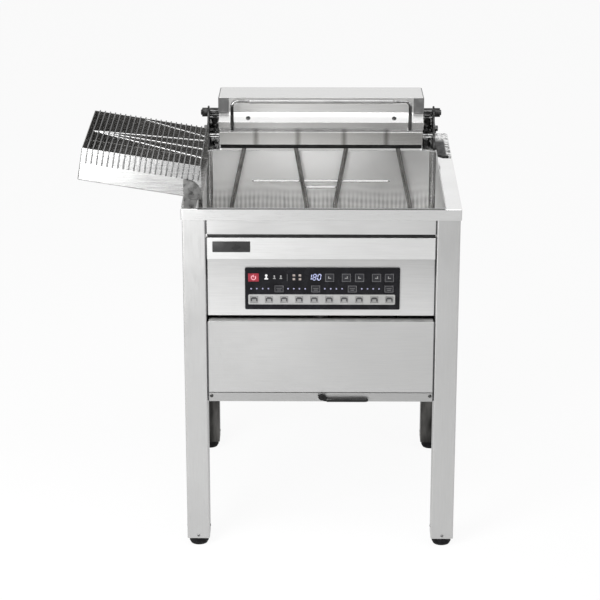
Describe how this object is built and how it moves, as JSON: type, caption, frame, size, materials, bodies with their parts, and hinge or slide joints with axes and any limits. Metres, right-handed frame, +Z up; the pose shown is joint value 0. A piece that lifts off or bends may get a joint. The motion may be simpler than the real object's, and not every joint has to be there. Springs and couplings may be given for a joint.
{
  "type": "electric deep fryer",
  "caption": "Free-standing stainless electric deep fryer: wide oil tank, hinged heater head, key panel, drain valve and a sloped wire-rack drain tray on the left of the rim.",
  "frame": {"origin": "on the floor, at the middle of the four feet, under the middle of the rim", "axes": "+X is the operator's right, -Y is the front with the key panel, +Z is up"},
  "size_m": [0.8245, 0.623, 0.9226],
  "materials": {
    "stainless_sheet": "brushed along the sheet",
    "tank_stainless": "satin",
    "polished_steel": "polished",
    "element_sheath": "satin, heat darkened",
    "screen_wire": "satin",
    "pipe_steel": "drawn",
    "valve_brass": "machined",
    "panel_gloss": "gloss",
    "strip_grey": "satin",
    "key_red": "gloss",
    "key_black": "gloss",
    "key_grey": "satin",
    "black_plastic": "fine texture",
    "black_vinyl": "dipped vinyl",
    "board": "solder mask",
    "contactor_plastic": "moulded"
  },
  "bodies": {
    "stand": {"leg_front_left": "stainless_sheet", "leg_front_right": "stainless_sheet", "leg_rear_left": "stainless_sheet", "leg_rear_right": "stainless_sheet", "levelling_feet": "black_plastic", "oil_tank": "tank_stainless", "rim_deck": "stainless_sheet", "top_rail": "stainless_sheet", "control_fascia": "stainless_sheet", "display_panel": "panel_gloss", "menu_strip": "strip_grey", "front_panel": "stainless_sheet", "bottom_rail": "stainless_sheet", "side_panel_right": "stainless_sheet", "side_panel_left": "stainless_sheet", "rear_panel": "stainless_sheet", "bottom_pan": "stainless_sheet", "control_board": "board", "hinge_bracket_right": "polished_steel", "hinge_bracket_left": "polished_steel", "temperature_probes": "element_sheath", "drain_pipe": "pipe_steel", "valve_body": "valve_brass", "contactor": "contactor_plastic", "cable_gland": "black_plastic"},
    "heater_head": {"head_base": "stainless_sheet", "head_cover": "stainless_sheet", "head_end_caps": "black_plastic", "lift_handle": "polished_steel", "handle_grip": "polished_steel", "hinge_pins": "polished_steel", "heating_element_left": "element_sheath", "heating_element_right": "element_sheath", "heater_screen": "screen_wire"},
    "drain_lever": {"valve_stem": "polished_steel", "valve_lever": "polished_steel", "lever_grip": "black_vinyl"},
    "tray": {"drain_tray": "stainless_sheet", "tray_hangers": "polished_steel"},
    "rack": {"tray_rack": "polished_steel"},
    "power_key": {"power_key": "key_red"},
    "function_key_1": {"function_key_1": "key_black"},
    "function_key_2": {"function_key_2": "key_black"},
    "function_key_3": {"function_key_3": "key_black"},
    "function_key_4": {"function_key_4": "key_black"},
    "function_key_5": {"function_key_5": "key_black"},
    "timer_key_1": {"timer_key_1": "key_black"},
    "timer_key_2": {"timer_key_2": "key_black"},
    "timer_key_3": {"timer_key_3": "key_black"},
    "timer_key_4": {"timer_key_4": "key_black"},
    "menu_key_1": {"menu_key_1": "key_grey"},
    "menu_key_2": {"menu_key_2": "key_grey"},
    "menu_key_3": {"menu_key_3": "key_grey"},
    "menu_key_4": {"menu_key_4": "key_grey"},
    "menu_key_5": {"menu_key_5": "key_grey"},
    "menu_key_6": {"menu_key_6": "key_grey"},
    "menu_key_7": {"menu_key_7": "key_grey"},
    "menu_key_8": {"menu_key_8": "key_grey"},
    "menu_key_9": {"menu_key_9": "key_grey"},
    "menu_key_10": {"menu_key_10": "key_grey"}
  },
  "joints": [
    {"name": "head_hinge", "type": "hinge", "parent": "stand", "child": "heater_head", "pos_m": [0, 0.24, 0.861], "axis": [-1, 0, 0], "range_deg": [0, 85]},
    {"name": "drain_lever_turn", "type": "hinge", "parent": "stand", "child": "drain_lever", "pos_m": [0.002, -0.3, 0.361], "axis": [0, 1, 0], "range_deg": [0, 90]},
    {"name": "tray_lift", "type": "slide", "parent": "stand", "child": "tray", "axis": [0, 0, 1], "range_m": [0, 0.25]},
    {"name": "rack_lift", "type": "slide", "parent": "tray", "child": "rack", "axis": [0, 0, 1], "range_m": [0, 0.12]},
    {"name": "power_key_press", "type": "slide", "parent": "stand", "child": "power_key", "axis": [0, 1, 0], "range_m": [0, 0.0008], "stiffness_N_per_m": 2000},
    {"name": "function_key_1_press", "type": "slide", "parent": "stand", "child": "function_key_1", "axis": [0, 1, 0], "range_m": [0, 0.0008], "stiffness_N_per_m": 2000},
    {"name": "function_key_2_press", "type": "slide", "parent": "stand", "child": "function_key_2", "axis": [0, 1, 0], "range_m": [0, 0.0008], "stiffness_N_per_m": 2000},
    {"name": "function_key_3_press", "type": "slide", "parent": "stand", "child": "function_key_3", "axis": [0, 1, 0], "range_m": [0, 0.0008], "stiffness_N_per_m": 2000},
    {"name": "function_key_4_press", "type": "slide", "parent": "stand", "child": "function_key_4", "axis": [0, 1, 0], "range_m": [0, 0.0008], "stiffness_N_per_m": 2000},
    {"name": "function_key_5_press", "type": "slide", "parent": "stand", "child": "function_key_5", "axis": [0, 1, 0], "range_m": [0, 0.0008], "stiffness_N_per_m": 2000},
    {"name": "timer_key_1_press", "type": "slide", "parent": "stand", "child": "timer_key_1", "axis": [0, 1, 0], "range_m": [0, 0.0008], "stiffness_N_per_m": 2000},
    {"name": "timer_key_2_press", "type": "slide", "parent": "stand", "child": "timer_key_2", "axis": [0, 1, 0], "range_m": [0, 0.0008], "stiffness_N_per_m": 2000},
    {"name": "timer_key_3_press", "type": "slide", "parent": "stand", "child": "timer_key_3", "axis": [0, 1, 0], "range_m": [0, 0.0008], "stiffness_N_per_m": 2000},
    {"name": "timer_key_4_press", "type": "slide", "parent": "stand", "child": "timer_key_4", "axis": [0, 1, 0], "range_m": [0, 0.0008], "stiffness_N_per_m": 2000},
    {"name": "menu_key_1_press", "type": "slide", "parent": "stand", "child": "menu_key_1", "axis": [0, 1, 0], "range_m": [0, 0.0008], "stiffness_N_per_m": 2000},
    {"name": "menu_key_2_press", "type": "slide", "parent": "stand", "child": "menu_key_2", "axis": [0, 1, 0], "range_m": [0, 0.0008], "stiffness_N_per_m": 2000},
    {"name": "menu_key_3_press", "type": "slide", "parent": "stand", "child": "menu_key_3", "axis": [0, 1, 0], "range_m": [0, 0.0008], "stiffness_N_per_m": 2000},
    {"name": "menu_key_4_press", "type": "slide", "parent": "stand", "child": "menu_key_4", "axis": [0, 1, 0], "range_m": [0, 0.0008], "stiffness_N_per_m": 2000},
    {"name": "menu_key_5_press", "type": "slide", "parent": "stand", "child": "menu_key_5", "axis": [0, 1, 0], "range_m": [0, 0.0008], "stiffness_N_per_m": 2000},
    {"name": "menu_key_6_press", "type": "slide", "parent": "stand", "child": "menu_key_6", "axis": [0, 1, 0], "range_m": [0, 0.0008], "stiffness_N_per_m": 2000},
    {"name": "menu_key_7_press", "type": "slide", "parent": "stand", "child": "menu_key_7", "axis": [0, 1, 0], "range_m": [0, 0.0008], "stiffness_N_per_m": 2000},
    {"name": "menu_key_8_press", "type": "slide", "parent": "stand", "child": "menu_key_8", "axis": [0, 1, 0], "range_m": [0, 0.0008], "stiffness_N_per_m": 2000},
    {"name": "menu_key_9_press", "type": "slide", "parent": "stand", "child": "menu_key_9", "axis": [0, 1, 0], "range_m": [0, 0.0008], "stiffness_N_per_m": 2000},
    {"name": "menu_key_10_press", "type": "slide", "parent": "stand", "child": "menu_key_10", "axis": [0, 1, 0], "range_m": [0, 0.0008], "stiffness_N_per_m": 2000}
  ]
}
